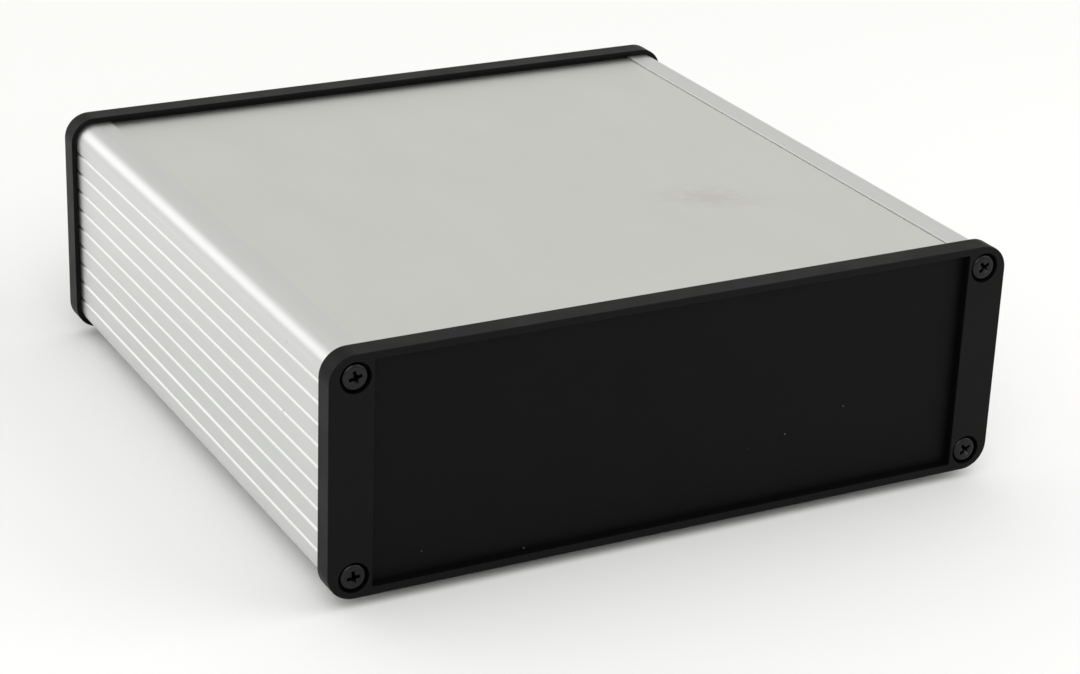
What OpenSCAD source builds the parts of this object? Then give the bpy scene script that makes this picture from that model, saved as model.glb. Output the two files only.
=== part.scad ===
// Instrument case: an extruded aluminium channel with a slide-in cover plate,
// closed at each end by a flat panel held in a moulded bezel.
// The front looks along -Y, +Z is up, and the feet stand on z = 0.

/* [Body] */
// Width across the outer faces of the side walls
body_w = 162.5; // [140:0.1:220]
// Height from the underside to the tops of the two rails
body_h = 52.3; // [45:0.1:90]
// Length of the body that shows between the two bezels
body_len = 150; // [80:1:300]
// Radius of the four long outer edges
edge_r = 4.5; // [2:0.5:5]
// Thickness of the side walls
wall_t = 2; // [1.5:0.1:2.6]
// Thickness of the floor
floor_t = 2; // [1.5:0.1:3]

/* [Side grooves] */
// Distance from one groove to the next
groove_pitch = 4.8; // [3:0.01:8]
// Width of a groove where it opens in the wall's face
groove_w = 0.9; // [0.4:0.1:1.4]
// Depth of a groove
groove_d = 0.45; // [0.2:0.05:0.8]
// Least height left plain above the top groove and below the bottom one
groove_margin = 6.5; // [6:0.5:15]

/* [Cover plate] */
// Width of the rail on each side of the cover plate
rail_w = 8.8; // [8.4:0.05:14]
// Depth of the cover plate's face below the rail tops
cover_drop = 0.45; // [0.2:0.05:2]
// Thickness of the cover plate
cover_t = 2; // [1.8:0.1:2.5]
// Thickness of the tongue along each side of the plate, which slides under a rail
tongue_t = 1; // [0.8:0.1:1.4]
// Width of the tongue that each rail holds
cover_grip = 2; // [1:0.1:2.4]
// Thickness of the ledge under each edge of the plate
ledge_t = 1.5; // [1:0.1:3]
// Play of the plate in its grooves
cover_play = 0.1; // [0.05:0.05:0.3]

/* [Board slots] */
// Distance from one board slot to the next
slot_pitch = 9.7; // [6:0.1:20]
// Opening of a board slot, for a board 1.6 thick
slot_h = 1.8; // [1.6:0.1:3]
// Depth of a board slot
slot_d = 1.95; // [1:0.05:3]
// Thickness of the pad between a slot and the side wall
slot_pad = 0.5; // [0.4:0.1:2]
// Thickness of the rib on each side of a slot
rib_t = 1.2; // [0.8:0.1:2]

/* [Screw ports] */
// Distance of a port's centre from the side face of the body
port_side = 4.55; // [4.3:0.05:6]
// Distance of a port's centre from the rail tops or the underside
port_end = 3.65; // [3.4:0.05:6]
// Thickness of the metal round a port's bore
port_wall = 1.4; // [1:0.1:2]
// Width of the slit along each port
port_slit = 1.6; // [0.8:0.1:2.2]

/* [Screws] */
// Thread diameter, which is the bore of the ports too
screw_d = 3; // [2.5:0.1:3.5]
// Length under the head
screw_len = 10; // [6:1:20]
// Diameter of the head
head_d = 5.9; // [5:0.1:6.5]
// Height of the head, which lies flush with the bezel's face
head_h = 1.9; // [1.4:0.1:2.4]
// Height of the head's straight rim
head_rim = 0.8; // [0.4:0.1:1.2]
// Width across the wings of the cross recess
cross_w = 3; // [2:0.1:4]
// Thickness of a wing of the cross recess
cross_t = 0.8; // [0.5:0.1:1.2]
// Depth of the cross recess
cross_d = 1.4; // [0.6:0.1:1.8]
// Radial play of the thread in its port
thread_play = 0.05; // [0.02:0.01:0.1]
// Radial play of the thread in the bezel's hole
hole_play = 0.2; // [0.1:0.05:0.5]
// Radial play of the head in its counterbore
head_play = 0.5; // [0.1:0.05:0.6]

/* [Bezels] */
// Distance that a bezel stands out past the side walls
lap_side = 1.25; // [0.8:0.05:3]
// Distance that a bezel stands out past the rail tops and the underside
lap_end = 1.35; // [0.8:0.05:2.5]
// Difference between the corner radius of the bezel and that of the body
corner_grow = 1.5; // [0.5:0.1:1.8]
// Radius of the bezel's outer front edge
front_r = 0.4; // [0.2:0.05:1]
// Width of the strips that hold the screws, beside the window
strip_side = 10; // [9.3:0.1:16]
// Height of the strip above the window
strip_top = 1.55; // [1.4:0.05:5]
// Height of the strip below the window
strip_low = 2; // [1.4:0.05:5]
// Depth of the panel's face behind the bezel's front face
recess_d = 2; // [1:0.1:4]
// Depth of the socket that takes the end of the body
socket_d = 0.5; // [0.3:0.1:2]
// Play round the body in its socket
socket_play = 0.1; // [0.05:0.05:0.2]
// Depth of the hollow moulded in the back of each screw strip
core_d = 2.5; // [1:0.1:3.5]
// Width of that hollow
core_w = 4.5; // [2:0.1:6]

/* [End panels] */
// Thickness of an end panel
panel_t = 3; // [1.5:0.1:4]
// Width of the panel's edge that lies behind the bezel
panel_lap = 0.6; // [0.4:0.05:0.8]
// Play round the panel in its rebate
panel_play = 0.1; // [0.05:0.05:0.2]

/* [Feet] */
// Diameter of a foot where it is stuck to the floor
foot_d = 12.5; // [8:0.5:20]
// Height of a foot
foot_h = 3.8; // [2.6:0.05:12]
// Amount by which a foot's radius narrows towards the ground
foot_draft = 0.5; // [0:0.1:1.5]
// Radius of a foot's lower edge
foot_r = 0.5; // [0.2:0.1:1]
// Distance of a foot's centre from the side of the body
foot_side = 20; // [12:1:40]
// Distance of a foot's centre from the end of the body
foot_end = 20; // [12:1:40]

/* [Hidden] */
$fn = 64;

aluminium = "#d6d7d5";
aluminium_brushed = "#c7c8c3";
black_plastic = "#2a282a";
black_panel = "#1c1a1c";
black_steel = "#302f32";
grey_rubber = "#3a3a3a";

// Amount by which a cut runs past the face that it opens
over = 1;

// Half sizes of the body's section, which is drawn about its own middle
half_w = body_w / 2;
half_h = body_h / 2;
mid_z = foot_h + half_h;
inner_x = half_w - wall_t;
floor_y = -half_h + floor_t;
rail_x = half_w - rail_w;
ledge_y = half_h - cover_drop - cover_t;
full_len = body_len + 2 * socket_d;
cover_len = full_len - 2 * cover_play;

port_x = half_w - port_side;
port_y = half_h - port_end;
port_r = screw_d / 2 + port_wall;

groove_rows = 1 + floor((body_h - 2 * groove_margin) / groove_pitch);
slot_half = slot_h / 2 + rib_t;
slot_room = 2 * (port_y - port_r - slot_half);
slot_rows = 1 + floor(slot_room / slot_pitch);

bezel_w = body_w + 2 * lap_side;
bezel_h = body_h + 2 * lap_end;
bezel_t = socket_d + panel_t + recess_d;
bezel_r = edge_r + corner_grow;
window_w = bezel_w - 2 * strip_side;
window_h = bezel_h - strip_top - strip_low;
window_y = (strip_low - strip_top) / 2;
panel_w = window_w + 2 * panel_lap;
panel_h = window_h + 2 * panel_lap;
core_h = 2 * (port_y - port_r - core_w / 2);

// Turn of each cross recess, as the screws were left: top left, top right, bottom left, bottom right
front_turns = [15, 38, 8, 36];
rear_turns = [52, 20, 71, 5];

// Flat shapes

module rounded_rect(w, h, r) {
    square([w - 2 * r, h], center = true);
    square([w, h - 2 * r], center = true);
    for (sx = [-1, 1], sy = [-1, 1])
        translate([sx * (w / 2 - r), sy * (h / 2 - r)]) circle(r);
}

// A rectangle given by two opposite corners
module span(x0, y0, x1, y1) {
    translate([x0, y0]) square([x1 - x0, y1 - y0]);
}

module both_sides() {
    children();
    mirror([1, 0]) children();
}

// Section of the body

module groove_cuts() {
    for (i = [0 : groove_rows - 1])
        translate([half_w, (i - (groove_rows - 1) / 2) * groove_pitch])
            polygon([[over, groove_w / 2], [0, groove_w / 2], [-groove_d, 0], [0, -groove_w / 2], [over, -groove_w / 2]]);
}

// Shoulder under the rail: it holds the ledge for the cover plate and the upper screw port
module shoulder() {
    span(rail_x, ledge_y - ledge_t, inner_x + wall_t / 2, half_h);
    span(port_x, port_y - port_r, inner_x + wall_t / 2, port_y);
    translate([port_x, port_y]) circle(port_r);
}

module lower_port() {
    span(port_x - port_r, floor_y - floor_t / 2, inner_x + wall_t / 2, -port_y);
    span(port_x, -port_y, inner_x + wall_t / 2, -port_y + port_r);
    translate([port_x, -port_y]) circle(port_r);
}

module port_cuts() {
    for (sy = [-1, 1]) translate([port_x, sy * port_y]) circle(screw_d / 2);
    span(port_x - port_slit / 2, port_y - port_r - over, port_x + port_slit / 2, port_y);
    span(port_x - port_slit / 2, -port_y, port_x + port_slit / 2, -port_y + port_r + over);
}

module cover_groove() {
    span(rail_x - over, ledge_y, rail_x + cover_grip + cover_play, ledge_y + tongue_t + cover_play);
}

// Plate with a tongue along each side
module cover_section() {
    span(cover_play - rail_x, ledge_y, rail_x - cover_play, ledge_y + cover_t);
    span(-rail_x - cover_grip, ledge_y, rail_x + cover_grip, ledge_y + tongue_t);
}

module slot_ribs() {
    for (i = [0 : slot_rows - 1])
        translate([0, (i - (slot_rows - 1) / 2) * slot_pitch])
            difference() {
                span(inner_x - slot_pad - slot_d, -slot_half, inner_x + wall_t / 2, slot_half);
                span(inner_x - slot_pad - slot_d - over, -slot_h / 2, inner_x - slot_pad, slot_h / 2);
            }
}

module channel() {
    difference() {
        rounded_rect(body_w, body_h, edge_r);
        span(-inner_x, floor_y, inner_x, half_h + over);
    }
}

module body_section() {
    difference() {
        union() {
            channel();
            intersection() {
                rounded_rect(body_w, body_h, edge_r);
                both_sides() {
                    shoulder();
                    lower_port();
                    slot_ribs();
                }
            }
        }
        both_sides() {
            groove_cuts();
            port_cuts();
            cover_groove();
        }
    }
}

// Bezel, drawn with its back on z = 0 and its front face up

module slab_profile(half, t, r) {
    square([half - r, t]);
    square([half, t - r]);
    translate([half - r, t - r]) circle(r);
}

module full_profile(half, t, r) {
    slab_profile(half, t, r);
    mirror([1, 0]) slab_profile(half, t, r);
}

// Slab with rounded corners and a rounded front edge
module slab(w, h, t, corner, edge) {
    for (sx = [-1, 1], sy = [-1, 1])
        translate([sx * (w / 2 - corner), sy * (h / 2 - corner), 0])
            rotate_extrude() slab_profile(corner, t, edge);
    translate([0, h / 2 - corner, 0]) rotate([90, 0, 0])
        linear_extrude(h - 2 * corner) full_profile(w / 2, t, edge);
    translate([-w / 2 + corner, 0, 0]) rotate([90, 0, 90])
        linear_extrude(w - 2 * corner) full_profile(h / 2, t, edge);
}

// Rebate that the panel drops into from behind
module rebate_shape() {
    translate([0, window_y]) square([panel_w + 2 * panel_play, panel_h + 2 * panel_play], center = true);
}

// Socket for the body's end
module socket_shape() {
    rounded_rect(body_w + 2 * socket_play, body_h + 2 * socket_play, edge_r + socket_play);
}

module at_screws() {
    for (sx = [-1, 1], sy = [-1, 1]) translate([sx * port_x, sy * port_y, 0]) children();
}

module bezel() {
    difference() {
        slab(bezel_w, bezel_h, bezel_t, bezel_r, front_r);
        translate([0, window_y, bezel_t / 2])
            cube([window_w, window_h, bezel_t + 2 * over], center = true);
        translate([0, 0, -over]) linear_extrude(over + socket_d) socket_shape();
        translate([0, 0, -over]) linear_extrude(over + socket_d + panel_t) rebate_shape();
        at_screws() {
            translate([0, 0, -over]) cylinder(r = screw_d / 2 + hole_play, h = bezel_t + 2 * over);
            translate([0, 0, bezel_t - head_h]) cylinder(r = head_d / 2 + head_play, h = head_h + over);
        }
        for (sx = [-1, 1])
            translate([sx * port_x, 0, socket_d + core_d / 2 - over / 2])
                cube([core_w, core_h, core_d + over], center = true);
    }
}

module panel() {
    translate([0, window_y, socket_d + panel_t / 2]) cube([panel_w, panel_h, panel_t], center = true);
}

// Pan head screw with a cross recess, drawn with the seat of its head on z = 0

module screw(turn) {
    dome_h = head_h - head_rim;
    dome_r = (pow(head_d / 2, 2) + pow(dome_h, 2)) / (2 * dome_h);
    difference() {
        union() {
            cylinder(d = head_d, h = head_rim);
            intersection() {
                cylinder(d = head_d, h = head_h);
                translate([0, 0, head_h - dome_r]) sphere(dome_r);
            }
            translate([0, 0, -screw_len]) cylinder(r = screw_d / 2 - thread_play, h = screw_len + head_rim / 2);
        }
        translate([0, 0, head_h - cross_d]) rotate([0, 0, turn]) cross_recess();
    }
}

// Two crossed wings whose ends slope in towards the bottom
module cross_recess() {
    intersection() {
        for (a = [0, 90])
            rotate([0, 0, a]) translate([-cross_w, -cross_t / 2, 0]) cube([2 * cross_w, cross_t, cross_d + over]);
        cylinder(r1 = cross_t / 2, r2 = cross_w / 2 + over * (cross_w - cross_t) / (2 * cross_d), h = cross_d + over);
    }
}

// A foot: a rubber button with a rounded lower edge, drawn with that edge on z = 0
module foot_form() {
    low_r = foot_d / 2 - foot_draft;
    difference() {
        cylinder(r1 = low_r, r2 = foot_d / 2, h = foot_h);
        translate([0, 0, -over]) rotate_extrude() difference() {
            span(low_r - foot_r, 0, low_r + foot_draft + over, over + foot_r);
            translate([low_r - foot_r, over + foot_r]) circle(foot_r);
        }
    }
}

// Places

// Puts what stands on a bezel's back plane at the front or rear end of the body
module at_end(rear) {
    rotate([0, 0, rear ? 180 : 0]) translate([0, -body_len / 2, mid_z]) rotate([90, 0, 0]) children();
}

module screw_at(rear, side, row, turn) {
    at_end(rear) translate([side * port_x, row * port_y, bezel_t - head_h]) screw(turn);
}

module body_extrusion() {
    color(aluminium) translate([0, full_len / 2, mid_z]) rotate([90, 0, 0]) linear_extrude(full_len) body_section();
}

module cover_plate() {
    color(aluminium_brushed)
        translate([0, cover_len / 2, mid_z]) rotate([90, 0, 0]) linear_extrude(cover_len) cover_section();
}

module end_bezel(rear) {
    color(black_plastic) at_end(rear) bezel();
}

module end_panel(rear) {
    color(black_panel) at_end(rear) panel();
}

module end_screw(rear, side, row, turn) {
    color(black_steel) screw_at(rear, side, row, turn);
}

module foot(side, end) {
    color(grey_rubber)
        translate([side * (half_w - foot_side), end * (body_len / 2 - foot_end), 0]) foot_form();
}

body_extrusion();
cover_plate();
end_bezel(false);  // front_bezel
end_bezel(true);  // rear_bezel
end_panel(false);  // front_panel
end_panel(true);  // rear_panel
end_screw(false, -1, 1, front_turns[0]);  // front_screw_top_left
end_screw(false, 1, 1, front_turns[1]);  // front_screw_top_right
end_screw(false, -1, -1, front_turns[2]);  // front_screw_bottom_left
end_screw(false, 1, -1, front_turns[3]);  // front_screw_bottom_right
end_screw(true, 1, 1, rear_turns[0]);  // rear_screw_top_left
end_screw(true, -1, 1, rear_turns[1]);  // rear_screw_top_right
end_screw(true, 1, -1, rear_turns[2]);  // rear_screw_bottom_left
end_screw(true, -1, -1, rear_turns[3]);  // rear_screw_bottom_right
foot(-1, -1);  // foot_front_left
foot(1, -1);  // foot_front_right
foot(-1, 1);  // foot_rear_left
foot(1, 1);  // foot_rear_right
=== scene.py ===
"""Extruded aluminium instrument case: finishes, screws, feet and studio, round its CAD frame."""
import math

import bmesh
import bpy
from mathutils import Matrix, Vector


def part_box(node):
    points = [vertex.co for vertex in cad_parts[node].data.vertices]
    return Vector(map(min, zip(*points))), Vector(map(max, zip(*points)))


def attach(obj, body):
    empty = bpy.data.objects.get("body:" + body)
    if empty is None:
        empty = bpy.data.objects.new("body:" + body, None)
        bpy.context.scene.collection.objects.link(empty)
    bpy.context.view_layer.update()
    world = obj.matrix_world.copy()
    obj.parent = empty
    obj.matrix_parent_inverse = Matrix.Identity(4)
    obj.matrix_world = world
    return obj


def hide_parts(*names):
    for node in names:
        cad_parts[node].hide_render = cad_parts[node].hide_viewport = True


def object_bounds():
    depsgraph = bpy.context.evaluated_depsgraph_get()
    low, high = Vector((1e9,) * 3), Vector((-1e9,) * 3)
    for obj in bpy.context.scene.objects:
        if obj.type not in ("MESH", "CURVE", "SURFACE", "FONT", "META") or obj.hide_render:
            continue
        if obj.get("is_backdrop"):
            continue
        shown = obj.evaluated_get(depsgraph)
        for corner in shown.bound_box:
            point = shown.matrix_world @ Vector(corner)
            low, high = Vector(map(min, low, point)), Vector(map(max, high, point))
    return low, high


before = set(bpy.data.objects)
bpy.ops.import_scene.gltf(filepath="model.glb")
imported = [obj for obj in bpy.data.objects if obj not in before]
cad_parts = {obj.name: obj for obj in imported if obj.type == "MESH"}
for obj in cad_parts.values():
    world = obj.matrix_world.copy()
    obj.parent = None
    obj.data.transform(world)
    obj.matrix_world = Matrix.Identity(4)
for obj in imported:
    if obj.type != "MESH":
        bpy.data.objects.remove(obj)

bl_info = {
    "name": "Extruded Aluminium Enclosure",
    "version": (1, 0, 0),
    "blender": (4, 5, 0),
    "location": "View3D > Sidebar > Enclosure",
    "description": "Finishes and details an extruded instrument case on its CAD frame",
    "category": "Object",
}

MM = 0.001  # one millimetre in scene units

BODY = "body_extrusion"
COVER = "cover_plate"
BEZELS = ("front_bezel", "rear_bezel")
PANELS = ("front_panel", "rear_panel")
CORNERS = ("top_left", "top_right", "bottom_left", "bottom_right")
FEET = ("foot_front_left", "foot_front_right", "foot_rear_left", "foot_rear_right")

# How far each driver slot stands round from upright, as the screws happened to stop, in degrees.
SLOT_TURNS = {"front": (15.0, 38.0, 8.0, 36.0), "rear": (52.0, 20.0, 71.0, 5.0)}

FOOT_TAPER = 0.5  # how much smaller a foot's radius is at its sole, in millimetres
FLOOR_REACH = 6.0  # half the width of the studio floor, in metres
FLOOR_DROP = 0.02  # how far the floor lies under the feet, in millimetres, so that no faces meet
CAMERA_PLACE = (-286.03, -541.38, 279.87)  # in millimetres
CAMERA_ANGLES = (-28.537, 23.252, 2.248)  # azimuth, elevation and roll, in degrees


def linear(code):
    """Turns an sRGB hex colour into the linear values that shaders read."""
    steps = (int(code[i:i + 2], 16) / 255 for i in (0, 2, 4))
    return tuple(s / 12.92 if s <= 0.04045 else ((s + 0.055) / 1.055) ** 2.4 for s in steps)


def length(name, description, default_mm, smallest_mm=0.0, largest_mm=1000.0):
    """A length property whose default is written in millimetres."""
    return bpy.props.FloatProperty(
        name=name, description=description, default=default_mm * MM, min=smallest_mm * MM,
        max=largest_mm * MM, unit="LENGTH", subtype="DISTANCE", precision=5)


def colour(name, description, code):
    """A colour property whose default is an sRGB hex value."""
    return bpy.props.FloatVectorProperty(
        name=name, description=description, subtype="COLOR", size=3, min=0.0, max=1.0,
        default=linear(code))


class EnclosureSizes(bpy.types.PropertyGroup):
    """Small sizes of the case that the frame doesn't hold."""

    metal_edge: length("Metal edge", "Width of the softened edges on the extrusion and plate",
                       0.12, 0.01, 0.3)
    plastic_edge: length("Plastic edge", "Width of the softened edges on the moulded parts", 0.15,
                         0.01, 0.3)
    head_height: length("Head height", "Height of a screw's head", 1.9, 1.0, 3.0)
    shank_radius: length("Shank radius", "Radius of a screw's shank", 1.45, 0.5, 2.5)
    thread_pitch: length("Thread pitch", "Distance between two turns of the screw thread", 0.7,
                         0.3, 1.5)
    thread_depth: length("Thread depth", "Depth of the screw thread", 0.28, 0.05, 0.5)
    slot_span: length("Slot span", "Tip to tip width of the driver cross", 3.1, 1.0, 4.5)
    slot_width: length("Slot width", "Width of one arm of the driver cross", 0.78, 0.2, 1.5)
    slot_depth: length("Slot depth", "Depth of the driver cross", 1.4, 0.5, 1.8)
    foot_dish: length("Foot dish", "Depth of the hollow under each foot", 0.45, 0.0, 1.0)


class EnclosureColours(bpy.types.PropertyGroup):
    """Colours of the finishes."""

    body: colour("Body", "Clear anodised extrusion", "DADBDA")
    cover: colour("Cover", "Clear anodised plate", "DBDCD8")
    bezel: colour("Bezel", "Black moulded frame", "090809")
    panel: colour("Panel", "Black end panel", "080708")
    screw: colour("Screw", "Black plated steel", "2C2B2D")
    rubber: colour("Foot", "Black rubber", "1B1B1C")
    floor: colour("Floor", "Studio floor", "F8F8F8")


class EnclosureStudio(bpy.types.PropertyGroup):
    """Light levels of the studio."""

    sky: bpy.props.FloatProperty(name="Room light",
                                 description="Level of the even light round the case",
                                 default=0.84, min=0.0, max=2.0)
    key: bpy.props.FloatProperty(name="Key lamp", description="Power of the softbox at the right",
                                 default=3.6, min=0.0, max=100.0, unit="POWER")
    rim: bpy.props.FloatProperty(name="Rim lamp",
                                 description="Power of the softbox behind the left side",
                                 default=0.95, min=0.0, max=100.0, unit="POWER")
    fill: bpy.props.FloatProperty(name="Fill lamp",
                                  description="Power of the softbox over the front",
                                  default=5.4, min=0.0, max=100.0, unit="POWER")
    lens: bpy.props.FloatProperty(name="Lens", description="Focal length of the camera",
                                  default=92.75, min=10.0, max=300.0, unit="CAMERA",
                                  subtype="DISTANCE_CAMERA")


# ---------------------------------------------------------------- materials


def add(tree, kind, inputs=(), **settings):
    """Adds a node, sets its properties, and sets or links its inputs by name or number."""
    made = tree.nodes.new(kind)
    for name, value in settings.items():
        setattr(made, name, value)
    for key, value in dict(inputs).items():
        if isinstance(value, bpy.types.NodeSocket):
            tree.links.new(value, made.inputs[key])
        else:
            made.inputs[key].default_value = value
    return made


def new_material(name):
    """An empty material, its node tree, and object coordinates in millimetres."""
    material = bpy.data.materials.new(name)
    material.use_nodes = True
    tree = material.node_tree
    tree.nodes.clear()
    place = add(tree, "ShaderNodeTexCoord").outputs["Object"]
    place = add(tree, "ShaderNodeMapping", {"Vector": place, "Scale": (1 / MM,) * 3}).outputs[0]
    return material, tree, place


def finish_material(tree, inputs):
    """Ends a material with its surface shader."""
    shader = add(tree, "ShaderNodeBsdfPrincipled", inputs)
    add(tree, "ShaderNodeOutputMaterial", {"Surface": shader.outputs[0]})


def grain(tree, place, size, stretch=(1, 1, 1), detail=2.0, roughness=0.5):
    """Noise whose grains are about size millimetres across, drawn out along an axis by stretch."""
    scale = tuple(1 / (size * s) for s in stretch)
    scaled = add(tree, "ShaderNodeMapping", {"Vector": place, "Scale": scale}).outputs[0]
    return add(tree, "ShaderNodeTexNoise", {
        "Vector": scaled, "Scale": 1.0, "Detail": detail, "Roughness": roughness,
    }).outputs["Fac"]


def ranged(tree, value, low, high, start=0.0, end=1.0, smooth=False):
    """Maps a value from low..high to start..end."""
    return add(tree, "ShaderNodeMapRange", {
        "Value": value, "From Min": low, "From Max": high, "To Min": start, "To Max": end,
    }, interpolation_type="SMOOTHSTEP" if smooth else "LINEAR").outputs[0]


def calc(tree, operation, a, b):
    """One sum on two values."""
    return add(tree, "ShaderNodeMath", {0: a, 1: b}, operation=operation).outputs[0]


def blended(tree, factor, a, b):
    """Mixes two colours."""
    return add(tree, "ShaderNodeMix", {0: factor, 6: a, 7: b}, data_type="RGBA").outputs[2]


def mark(tree, place, centre, reach, turn=0.0, core=0.0):
    """A soft oval mark: 1 at its centre and 0 at its edge. centre and reach are in millimetres."""
    moved = add(tree, "ShaderNodeVectorMath", {0: place, 1: tuple(-c for c in centre)},
                operation="ADD").outputs[0]
    turned = add(tree, "ShaderNodeMapping", {
        "Vector": moved, "Rotation": (0, 0, math.radians(-turn)),
    }).outputs[0]
    oval = add(tree, "ShaderNodeMapping",
               {"Vector": turned, "Scale": tuple(1 / r for r in reach)}).outputs[0]
    far = add(tree, "ShaderNodeVectorMath", {0: oval}, operation="LENGTH").outputs["Value"]
    return ranged(tree, far, core, 1.0, 1.0, 0.0, smooth=True)


def opaque(rgb):
    """A colour with full alpha, as node sockets take it."""
    return (*rgb, 1.0)


def shaded(rgb, factor):
    """A darker or lighter shade of a linear colour."""
    return opaque(min(1.0, c * factor) for c in rgb)


def extruded_aluminium(colours):
    """Extruded 6063 aluminium, caustic etched and clear anodised: an even satin grey that blurs
    what it mirrors, with faint die lines down its length and a fine etch grain."""
    material, tree, place = new_material("extruded_aluminium_clear_anodised")
    # Real die lines are 0.05 to 0.1 mm apart. They are drawn 0.3 mm apart to show.
    lines = grain(tree, place, 0.3, stretch=(1, 260, 1), detail=3.0, roughness=0.6)
    bands = grain(tree, place, 4.0, stretch=(1, 60, 1), detail=1.0)
    etch = grain(tree, place, 0.22, detail=1.0)
    tone = ranged(tree, calc(tree, "ADD", lines, bands), 0.6, 1.4)
    base = blended(tree, tone, shaded(colours.body, 0.975), shaded(colours.body, 1.02))
    # A nick in one groove and a speck on the flat above it, both near the front end. The nick's
    # dark patch is painted shade that breaks the groove's bright line there.
    nick_painted_shade = mark(tree, place, (-81.05, -53.5, 34.7), (0.9, 0.75, 0.7))
    speck = mark(tree, place, (-81.25, -56.1, 51.3), (0.4, 0.4, 0.4))
    speck_and_nick_shade = calc(tree, "MAXIMUM", calc(tree, "MULTIPLY", nick_painted_shade, 0.55),
                 calc(tree, "MULTIPLY", speck, 0.5))
    # Painted shade at the nick, and the speck's own dark tone, both darken the base colour here.
    base = blended(tree, speck_and_nick_shade, base, shaded(colours.body, 0.35))
    height = calc(tree, "ADD", calc(tree, "MULTIPLY", lines, 0.6),
                  calc(tree, "MULTIPLY", etch, 0.4))
    bump = add(tree, "ShaderNodeBump",
               {"Strength": 0.10, "Distance": 0.02 * MM, "Height": height}).outputs[0]
    finish_material(tree, {
        "Base Color": base, "Metallic": 1.0, "Normal": bump,
        "Roughness": ranged(tree, etch, 0.3, 0.7, 0.35, 0.39),
    })
    return material


def cover_aluminium(colours):
    """Rolled aluminium plate, etched and clear anodised: the body's satin grey, with rolling lines
    down its length and one greasy fingermark that tints it a little."""
    material, tree, place = new_material("cover_aluminium_clear_anodised")
    # Real rolling lines are under 0.1 mm apart. They are drawn 0.35 mm apart to show.
    lines = grain(tree, place, 0.35, stretch=(1, 120, 1), detail=3.0, roughness=0.65)
    etch = grain(tree, place, 0.25, detail=1.0)
    cloud = grain(tree, place, 14.0, stretch=(1, 2, 1), detail=2.0)
    tone = ranged(tree, calc(tree, "ADD", lines, cloud), 0.6, 1.4)
    base = blended(tree, tone, shaded(colours.cover, 0.975), shaded(colours.cover, 1.02))
    smear = mark(tree, place, (38.0, -25.5, 55.65), (19.0, 10.0, 4.0), turn=-30.0)
    patchy = ranged(tree, grain(tree, place, 3.5, detail=2.0), 0.3, 0.55)
    smear = calc(tree, "MULTIPLY", smear, patchy)
    base = blended(tree, calc(tree, "MULTIPLY", smear, 0.6), base, opaque(linear("CFC8C5")))
    height = calc(tree, "ADD", calc(tree, "MULTIPLY", lines, 0.6),
                  calc(tree, "MULTIPLY", etch, 0.4))
    bump = add(tree, "ShaderNodeBump",
               {"Strength": 0.12, "Distance": 0.02 * MM, "Height": height}).outputs[0]
    finish_material(tree, {
        "Base Color": base, "Metallic": 1.0, "Normal": bump,
        "Roughness": calc(tree, "ADD", ranged(tree, etch, 0.3, 0.7, 0.36, 0.40),
                          calc(tree, "MULTIPLY", smear, 0.05)),
    })
    return material


def bezel_plastic(colours):
    """Black ABS, injection moulded in a spark-eroded mould: a dry matt black whose fine pits catch
    light only at a low angle."""
    material, tree, place = new_material("bezel_plastic_spark_eroded_abs")
    # Real pits are 0.05 to 0.1 mm across. They are drawn 0.2 mm across to show.
    pits = grain(tree, place, 0.2, detail=2.0, roughness=0.6)
    flow = grain(tree, place, 9.0, detail=2.0)
    base = blended(tree, ranged(tree, pits, 0.35, 0.7), shaded(colours.bezel, 0.7),
                   shaded(colours.bezel, 1.5))
    bump = add(tree, "ShaderNodeBump",
               {"Strength": 0.5, "Distance": 0.03 * MM, "Height": pits}).outputs[0]
    finish_material(tree, {
        "Base Color": base, "Specular IOR Level": 0.10, "Normal": bump,
        "Roughness": ranged(tree, flow, 0.3, 0.7, 0.42, 0.50),
    })
    return material


def panel_plastic(colours):
    """Black ABS sheet with a fine hair-cell grain: a flat matt black with a few pale specks of
    dust."""
    material, tree, place = new_material("panel_plastic_haircell_abs")
    # Real hair-cell grain is about 0.1 mm across. It is drawn 0.25 mm across to show.
    cells = grain(tree, place, 0.25, detail=2.0, roughness=0.55)
    flow = grain(tree, place, 12.0, detail=1.0)
    base = blended(tree, ranged(tree, cells, 0.35, 0.7), shaded(colours.panel, 0.7),
                   shaded(colours.panel, 1.5))
    # Dust: one possible speck in each 5 mm cell, and most cells have none.
    cell = add(tree, "ShaderNodeMapping", {"Vector": place, "Scale": (1 / 5.0,) * 3}).outputs[0]
    dots = add(tree, "ShaderNodeTexVoronoi", {"Vector": cell, "Scale": 1.0, "Randomness": 1.0})
    near = ranged(tree, dots.outputs["Distance"], 0.02, 0.045, 1.0, 0.0, smooth=True)
    chosen = add(tree, "ShaderNodeSeparateColor", {0: dots.outputs["Color"]}).outputs[0]
    dust = calc(tree, "MULTIPLY", near, calc(tree, "GREATER_THAN", chosen, 0.62))
    base = blended(tree, calc(tree, "MULTIPLY", dust, 0.75), base, opaque(linear("6A6C70")))
    bump = add(tree, "ShaderNodeBump",
               {"Strength": 0.45, "Distance": 0.03 * MM, "Height": cells}).outputs[0]
    finish_material(tree, {
        "Base Color": base, "Specular IOR Level": 0.08, "Normal": bump,
        "Roughness": ranged(tree, flow, 0.3, 0.7, 0.44, 0.52),
    })
    return material


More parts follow.
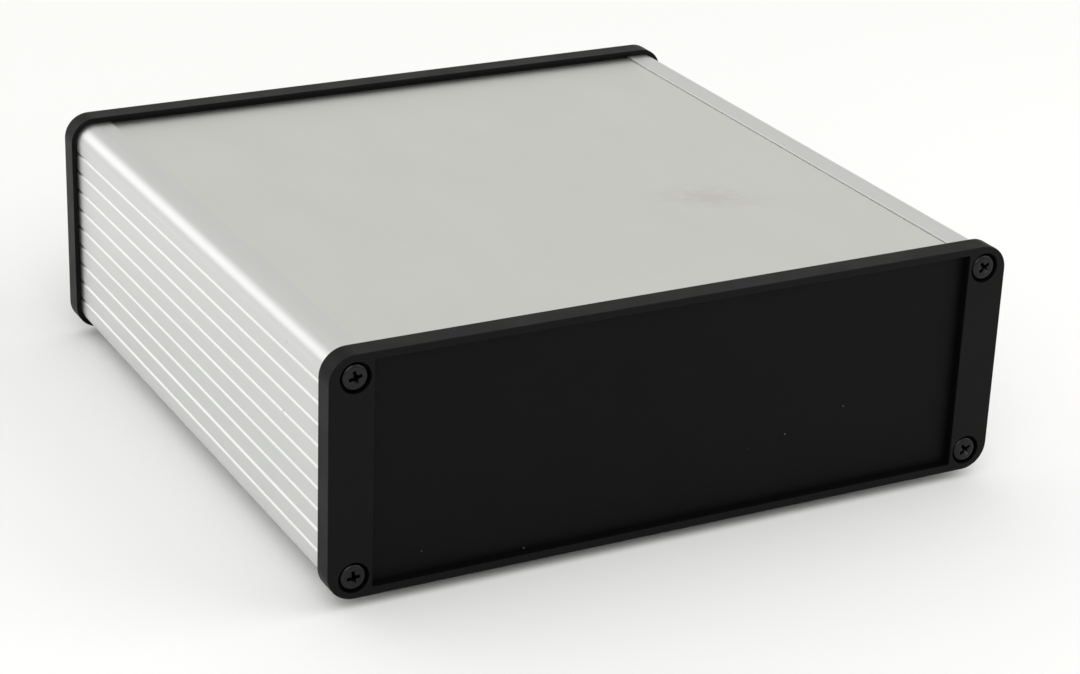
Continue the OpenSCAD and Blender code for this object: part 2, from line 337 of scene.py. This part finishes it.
def screw_steel(colours):
    """Cold-headed steel with a black zinc plate: a dark satin metal that glints on its rim and in
    the cross."""
    material, tree, place = new_material("screw_steel_black_zinc")
    # Real plating grain is about 0.02 mm across. It is drawn 0.15 mm across to show.
    crystals = grain(tree, place, 0.15, detail=2.0)
    base = blended(tree, ranged(tree, crystals, 0.3, 0.7), shaded(colours.screw, 0.75),
                   shaded(colours.screw, 1.25))
    bump = add(tree, "ShaderNodeBump",
               {"Strength": 0.2, "Distance": 0.01 * MM, "Height": crystals}).outputs[0]
    finish_material(tree, {
        "Base Color": base, "Metallic": 1.0, "Normal": bump,
        "Roughness": ranged(tree, crystals, 0.3, 0.7, 0.20, 0.28),
    })
    return material


def foot_rubber(colours):
    """Moulded black rubber: a soft dull black with a fine even grain and a trace of bloom."""
    material, tree, place = new_material("foot_rubber_moulded")
    skin = grain(tree, place, 0.3, detail=2.0)
    bloom = grain(tree, place, 3.0, detail=2.0)
    base = blended(tree, ranged(tree, bloom, 0.35, 0.75), shaded(colours.rubber, 0.9),
                   shaded(colours.rubber, 1.6))
    bump = add(tree, "ShaderNodeBump",
               {"Strength": 0.4, "Distance": 0.03 * MM, "Height": skin}).outputs[0]
    finish_material(tree, {
        "Base Color": base, "Specular IOR Level": 0.3, "Normal": bump,
        "Roughness": ranged(tree, skin, 0.3, 0.7, 0.62, 0.74),
    })
    return material


def floor_paper(colours):
    """Matt white studio paper: no gloss, and a tooth too fine to see."""
    material, tree, place = new_material("studio_paper")
    tooth = grain(tree, place, 0.8, detail=2.0)
    base = blended(tree, tooth, shaded(colours.floor, 0.995), shaded(colours.floor, 1.0))
    finish_material(tree, {"Base Color": base, "Specular IOR Level": 0.0, "Roughness": 1.0})
    return material


# ---------------------------------------------------------------- shaping


def dress(node, material, edge):
    """Gives a CAD node its material and softens its edges, which leaves its own mesh as it is."""
    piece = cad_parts[node]
    for slot in piece.material_slots:
        slot.link = "OBJECT"
        slot.material = material
    weld = piece.modifiers.new("join_faces", "WELD")
    weld.merge_threshold = 0.001 * MM
    flatten = piece.modifiers.new("clear_flats", "DECIMATE")
    flatten.decimate_type = "DISSOLVE"
    flatten.angle_limit = math.radians(0.3)
    soften = piece.modifiers.new("soften_edges", "BEVEL")
    soften.width = edge
    soften.segments = 2
    soften.profile = 0.5
    soften.limit_method = "ANGLE"
    soften.angle_limit = math.radians(28)
    soften.use_clamp_overlap = False
    normals = piece.modifiers.new("smooth_arcs", "WEIGHTED_NORMAL")
    normals.keep_sharp = True
    return piece


def turned(bm, outline, steps):
    """Spins an outline of (radius, height) points round Z into a closed form."""
    points = [bm.verts.new((r, 0, h)) for r, h in outline]
    edges = [bm.edges.new(pair) for pair in zip(points, points[1:])]
    bmesh.ops.spin(bm, geom=points + edges, cent=(0, 0, 0), axis=(0, 0, 1), angle=2 * math.pi,
                   steps=steps, use_merge=True)
    bmesh.ops.remove_doubles(bm, verts=bm.verts, dist=0.0005)
    bmesh.ops.recalc_face_normals(bm, faces=bm.faces)


def arc(centre, radius, start, end, steps):
    """Points of an arc in an outline, from start to end degrees, measured from the outward
    radius."""
    angles = [math.radians(start + (end - start) * i / steps) for i in range(steps + 1)]
    return [(centre[0] + radius[0] * math.cos(a),
             centre[1] + radius[1] * math.sin(a)) for a in angles]


def place_piece(name, bm, matrix, material, node):
    """Turns a bmesh in millimetres into a piece on the case that stands for one CAD node."""
    bmesh.ops.transform(bm, matrix=matrix @ Matrix.Scale(MM, 4), verts=bm.verts)
    mesh = bpy.data.meshes.new(name)
    bm.to_mesh(mesh)
    bm.free()
    mesh.materials.append(material)
    mesh.shade_smooth()
    mesh.set_sharp_from_angle(angle=math.radians(32))
    piece = bpy.data.objects.new(name, mesh)
    bpy.context.scene.collection.objects.link(piece)
    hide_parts(node)
    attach(piece, "root")
    return piece


def cut_away(bm, cutters):
    """Cuts closed forms out of a closed form, and returns what is left."""
    made = []
    for number, form in enumerate([bm] + cutters):
        mesh = bpy.data.meshes.new(f"cut_{number}")
        form.to_mesh(mesh)
        form.free()
        made.append(bpy.data.objects.new(f"cut_{number}", mesh))
        bpy.context.scene.collection.objects.link(made[-1])
    for cutter in made[1:]:
        step = made[0].modifiers.new("cut", "BOOLEAN")
        step.operation = "DIFFERENCE"
        step.solver = "EXACT"
        step.object = cutter
    left = bmesh.new()
    left.from_object(made[0], bpy.context.evaluated_depsgraph_get())
    for item in made:
        mesh = item.data
        bpy.data.objects.remove(item)
        bpy.data.meshes.remove(mesh)
    bmesh.ops.remove_doubles(left, verts=left.verts, dist=0.0005)
    bmesh.ops.recalc_face_normals(left, faces=left.faces)
    return left


def frustum(top_span, top_width, bottom_share, depth, sides, height):
    """A closed tapered form whose wide end is up, at height."""
    bm = bmesh.new()
    bmesh.ops.create_cone(bm, cap_ends=True, cap_tris=False, segments=sides,
                          radius1=bottom_share, radius2=1.0, depth=depth)
    across = 1 / math.cos(math.pi / sides)  # from a flat side's distance to its corner's
    bmesh.ops.rotate(bm, cent=(0, 0, 0), matrix=Matrix.Rotation(math.pi / sides, 3, "Z"),
                     verts=bm.verts)
    bmesh.ops.scale(bm, vec=(top_span / 2 * across, top_width / 2 * across, 1), verts=bm.verts)
    bmesh.ops.translate(bm, vec=(0, 0, height - depth / 2), verts=bm.verts)
    return bm


def screw_form(sizes, head_radius, whole_length):
    """A pan head screw with a driver cross and a rolled thread, in millimetres. Its axis is Z and
    the top of its head is at the origin."""
    head_height, shank_radius = sizes.head_height / MM, sizes.shank_radius / MM
    rim, flat_share, rim_angle = 1.2, 0.6, 8
    head_chamfer, neck_flare, tip_chamfer = 0.14, 0.12, 0.12
    plain_neck, plain_tip = 0.35, 0.75  # lengths of shank that have no thread
    rings_per_turn = 6
    seat = -head_height
    pitch, depth = sizes.thread_pitch / MM, sizes.thread_depth / MM
    start, end = seat - plain_neck, -whole_length + plain_tip
    rings = round((start - end) / pitch * rings_per_turn)
    flat, drop = head_radius * flat_share, head_height - rim
    crown = [(0.0, 0.0)] + arc((flat, -drop), (head_radius - flat, drop), 90, rim_angle, 10)
    collar = [(head_radius, seat + rim - 0.05), (head_radius, seat + head_chamfer),
              (head_radius - head_chamfer, seat)]
    neck = [(shank_radius + neck_flare, seat), (shank_radius, seat - neck_flare)]
    thread = [(shank_radius, start + (end - start) * i / rings) for i in range(rings + 1)]
    tip = [(shank_radius * 0.72, -whole_length + tip_chamfer), (shank_radius * 0.62, -whole_length),
           (0.0, -whole_length)]
    bm = bmesh.new()
    turned(bm, crown + collar + neck + thread + tip, 40)
    # The thread: each ring's points move in by how far they stand from the ridge, fading at its
    # ends.
    for v in bm.verts:
        if end - 0.001 < v.co.z < start + 0.001 and math.hypot(v.co.x, v.co.y) > 0.5:
            phase = (v.co.z / pitch - math.atan2(v.co.y, v.co.x) / (2 * math.pi)) % 1.0
            valley = 1 - abs(2 * phase - 1)
            fade = min(1.0, (start - v.co.z) / pitch, (v.co.z - end) / (2 * pitch) + 0.4)
            v.co.xy *= 1 - depth / shank_radius * min(1.0, valley * 1.35) * max(0.0, fade)
    span, width = sizes.slot_span / MM, sizes.slot_width / MM
    slot_depth = sizes.slot_depth / MM
    over = 0.3  # the cutters start above the crown, and widen on to there
    long_side, short_side, taper = span * 1.12, width * 1.08, 0.40
    cutters = [
        frustum(long_side, short_side, taper, slot_depth + over, 4, over),
        frustum(short_side, long_side, taper, slot_depth + over, 4, over),
        frustum(width * 2.0, width * 2.0, 0.42, slot_depth + over + 0.15, 8, over),
    ]
    bm = cut_away(bm, cutters)
    # The cross's lips are the sharp edges that lie on the crown.
    lips = [e for e in bm.edges if e.is_manifold and e.calc_face_angle(0) > math.radians(35)
            and all(v.co.z > seat + 0.3 and v.co.xy.length < span * 0.56 for v in e.verts)
            and all(abs(v.co.z - crown_height(v.co.xy.length, flat, head_radius, drop)) < 0.02
                    for v in e.verts)]
    bmesh.ops.bevel(bm, geom=lips, offset=0.06, offset_type="OFFSET", segments=2, profile=0.5,
                    affect="EDGES", clamp_overlap=True, material=-1)
    return bm


def crown_height(reach, flat, head_radius, drop):
    """Height of a screw's crown at a distance from its axis: flat in the middle, then falling to
    its rim."""
    share = min(1.0, max(0.0, (reach - flat) / (head_radius - flat)))
    return -drop * (1 - math.sqrt(1 - share * share))


def foot_form(sizes, top_radius, bottom_radius, height):
    """A round rubber foot on its own base, dished underneath, with its glued pad set in a little at
    the top, in millimetres."""
    soft, pad, chamfer, dish = 0.5, 0.3, 0.12, sizes.foot_dish / MM
    pad_radius = top_radius - 0.35
    hollow = bottom_radius * 0.6
    bottom = arc((bottom_radius - soft, soft), (soft, soft), 0, -90, 6)
    outline = [(0.0, height), (pad_radius, height), (pad_radius, height - pad),
               (top_radius - chamfer, height - pad), (top_radius, height - pad - chamfer)]
    outline += bottom
    outline += [(hollow + 0.45, 0.0), (hollow + 0.15, dish * 0.4), (hollow - 0.15, dish * 0.86),
                (hollow - 0.45, dish), (0.0, dish)]
    bm = bmesh.new()
    turned(bm, outline, 64)
    return bm


# ---------------------------------------------------------------- operators


class OBJECT_OT_enclosure_studio(bpy.types.Operator):
    """Set the floor, lamps, room light and camera round the case"""

    bl_idname = "object.enclosure_studio"
    bl_label = "Studio"

    def execute(self, context):
        scene = context.scene
        studio, colours = scene.enclosure_studio, scene.enclosure_colours
        low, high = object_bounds()
        centre = (low + high) / 2

        bm = bmesh.new()
        bmesh.ops.create_grid(bm, x_segments=4, y_segments=4, size=FLOOR_REACH)
        bmesh.ops.translate(bm, vec=(centre.x, centre.y, low.z - FLOOR_DROP * MM), verts=bm.verts)
        mesh = bpy.data.meshes.new("studio_floor")
        bm.to_mesh(mesh)
        bm.free()
        mesh.materials.append(floor_paper(colours))
        floor = bpy.data.objects.new("studio_floor", mesh)
        scene.collection.objects.link(floor)
        floor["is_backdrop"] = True

        # Each lamp: name, power, direction from the case, distance, width and height of its face,
        # all in metres.
        lamps = (
            ("key_softbox", studio.key, (0.80, -0.42, 0.58), 1.3, 1.1, 1.1),
            ("rim_softbox", studio.rim, (-0.50, 0.81, 0.32), 1.1, 0.75, 0.45),
            ("fill_softbox", studio.fill, (-0.35, -0.70, 0.62), 1.4, 1.0, 1.0),
        )
        for name, power, direction, distance, width, height in lamps:
            data = bpy.data.lights.new(name, "AREA")
            data.shape = "RECTANGLE"
            data.size, data.size_y = width, height
            data.energy = power
            lamp = bpy.data.objects.new(name, data)
            aim = Vector(direction).normalized()
            lamp.location = centre + aim * distance
            lamp.rotation_mode = "QUATERNION"
            lamp.rotation_quaternion = aim.to_track_quat("Z", "Y")
            scene.collection.objects.link(lamp)

        world = bpy.data.worlds.new("studio_room")
        world.use_nodes = True
        tree = world.node_tree
        tree.nodes.clear()
        upward = add(tree, "ShaderNodeSeparateXYZ",
                     {0: add(tree, "ShaderNodeTexCoord").outputs["Generated"]})
        level = ranged(tree, upward.outputs[2], 0.0, 0.9, 0.80 * studio.sky, 1.05 * studio.sky)
        room = add(tree, "ShaderNodeBackground",
                   {"Color": opaque(linear("FFFFFC")), "Strength": level}).outputs[0]
        white = add(tree, "ShaderNodeBackground",
                    {"Color": opaque(linear("FAFAFA")), "Strength": 1.0}).outputs[0]
        seen = add(tree, "ShaderNodeLightPath").outputs["Is Camera Ray"]
        both = add(tree, "ShaderNodeMixShader", {0: seen, 1: room, 2: white}).outputs[0]
        add(tree, "ShaderNodeOutputWorld", {"Surface": both})
        scene.world = world

        # Standing a little to the left of the front and above it, with the slight tilt of a
        # hand-levelled tripod.
        azimuth, elevation, roll = (math.radians(a) for a in CAMERA_ANGLES)
        ahead = Vector((-math.sin(azimuth) * math.cos(elevation),
                        math.cos(azimuth) * math.cos(elevation),
                        -math.sin(elevation)))
        right = ahead.cross(Vector((0, 0, 1))).normalized()
        up = right.cross(ahead)
        side = right * math.cos(roll) + up * math.sin(roll)
        top = up * math.cos(roll) - right * math.sin(roll)
        lens = bpy.data.cameras.new("studio_camera")
        lens.sensor_fit = "HORIZONTAL"
        lens.sensor_width = 36.0
        lens.lens = studio.lens
        lens.clip_start, lens.clip_end = 0.01, 50.0
        camera = bpy.data.objects.new("studio_camera", lens)
        turn = Matrix((side, top, -ahead)).transposed().to_4x4()
        camera.matrix_world = Matrix.Translation(Vector(CAMERA_PLACE) * MM) @ turn
        scene.collection.objects.link(camera)
        scene.camera = camera
        scene.view_settings.view_transform = "Standard"
        return {"FINISHED"}


class OBJECT_OT_enclosure_body(bpy.types.Operator):
    """Finish the extruded body and its cover plate"""

    bl_idname = "object.enclosure_body"
    bl_label = "Body and cover"

    def execute(self, context):
        sizes, colours = context.scene.enclosure_sizes, context.scene.enclosure_colours
        dress(BODY, extruded_aluminium(colours), sizes.metal_edge)
        dress(COVER, cover_aluminium(colours), sizes.metal_edge)
        return {"FINISHED"}


class OBJECT_OT_enclosure_ends(bpy.types.Operator):
    """Finish the moulded bezels and the end panels"""

    bl_idname = "object.enclosure_ends"
    bl_label = "Bezels and panels"

    def execute(self, context):
        sizes, colours = context.scene.enclosure_sizes, context.scene.enclosure_colours
        moulded, sheet = bezel_plastic(colours), panel_plastic(colours)
        for node in BEZELS:
            dress(node, moulded, sizes.plastic_edge)
        for node in PANELS:
            dress(node, sheet, sizes.plastic_edge)
        return {"FINISHED"}


class OBJECT_OT_enclosure_screws(bpy.types.Operator):
    """Make the eight pan head screws with their driver crosses and threads"""

    bl_idname = "object.enclosure_screws"
    bl_label = "Screws"

    def execute(self, context):
        sizes, colours = context.scene.enclosure_sizes, context.scene.enclosure_colours
        steel = screw_steel(colours)
        low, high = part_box("front_screw_top_left")
        head_radius = (high.x - low.x) / 2 / MM
        whole_length = (high.y - low.y) / MM
        master = screw_form(sizes, head_radius, whole_length)
        for end, turns in SLOT_TURNS.items():
            for corner, turn in zip(CORNERS, turns):
                node = f"{end}_screw_{corner}"
                low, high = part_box(node)
                centre = (low + high) / 2
                front = end == "front"
                crown = Vector((centre.x, low.y if front else high.y, centre.z))
                tilt = Matrix.Rotation(math.radians(90 if front else -90), 4, "X")
                matrix = Matrix.Translation(crown) @ tilt @ Matrix.Rotation(math.radians(turn), 4,
                                                                            "Z")
                place_piece(f"{node}_threaded", master.copy(), matrix, steel, node)
        master.free()
        return {"FINISHED"}


class OBJECT_OT_enclosure_feet(bpy.types.Operator):
    """Make the four round rubber feet"""

    bl_idname = "object.enclosure_feet"
    bl_label = "Feet"

    def execute(self, context):
        sizes, colours = context.scene.enclosure_sizes, context.scene.enclosure_colours
        rubber = foot_rubber(colours)
        for node in FEET:
            low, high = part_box(node)
            centre = (low + high) / 2
            top_radius = (high.x - low.x) / 2 / MM
            form = foot_form(sizes, top_radius, top_radius - FOOT_TAPER, (high.z - low.z) / MM)
            matrix = Matrix.Translation((centre.x, centre.y, low.z))
            place_piece(f"{node}_moulded", form, matrix, rubber, node)
        return {"FINISHED"}


class VIEW3D_PT_enclosure(bpy.types.Panel):
    """Lists the steps and the sizes, colours and light levels they use"""

    bl_idname = "VIEW3D_PT_enclosure"
    bl_label = "Enclosure"
    bl_space_type = "VIEW_3D"
    bl_region_type = "UI"
    bl_category = "Enclosure"

    def draw(self, context):
        for step in STEPS:
            self.layout.operator(step.bl_idname)
        for group in (context.scene.enclosure_sizes, context.scene.enclosure_colours,
                      context.scene.enclosure_studio):
            box = self.layout.box()
            for name in group.__annotations__:
                box.prop(group, name)


STEPS = (OBJECT_OT_enclosure_studio, OBJECT_OT_enclosure_body, OBJECT_OT_enclosure_ends,
         OBJECT_OT_enclosure_screws, OBJECT_OT_enclosure_feet)
GROUPS = {"enclosure_sizes": EnclosureSizes, "enclosure_colours": EnclosureColours,
          "enclosure_studio": EnclosureStudio}


def register():
    for item in (*GROUPS.values(), *STEPS, VIEW3D_PT_enclosure):
        bpy.utils.register_class(item)
    for name, group in GROUPS.items():
        setattr(bpy.types.Scene, name, bpy.props.PointerProperty(type=group))


def unregister():
    for name in GROUPS:
        delattr(bpy.types.Scene, name)
    for item in reversed((*GROUPS.values(), *STEPS, VIEW3D_PT_enclosure)):
        bpy.utils.unregister_class(item)


def main():
    register()
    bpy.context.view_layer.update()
    bpy.ops.object.enclosure_studio()
    bpy.ops.object.enclosure_body()
    bpy.ops.object.enclosure_ends()
    bpy.ops.object.enclosure_screws()
    bpy.ops.object.enclosure_feet()


if __name__ == "__main__":
    main()
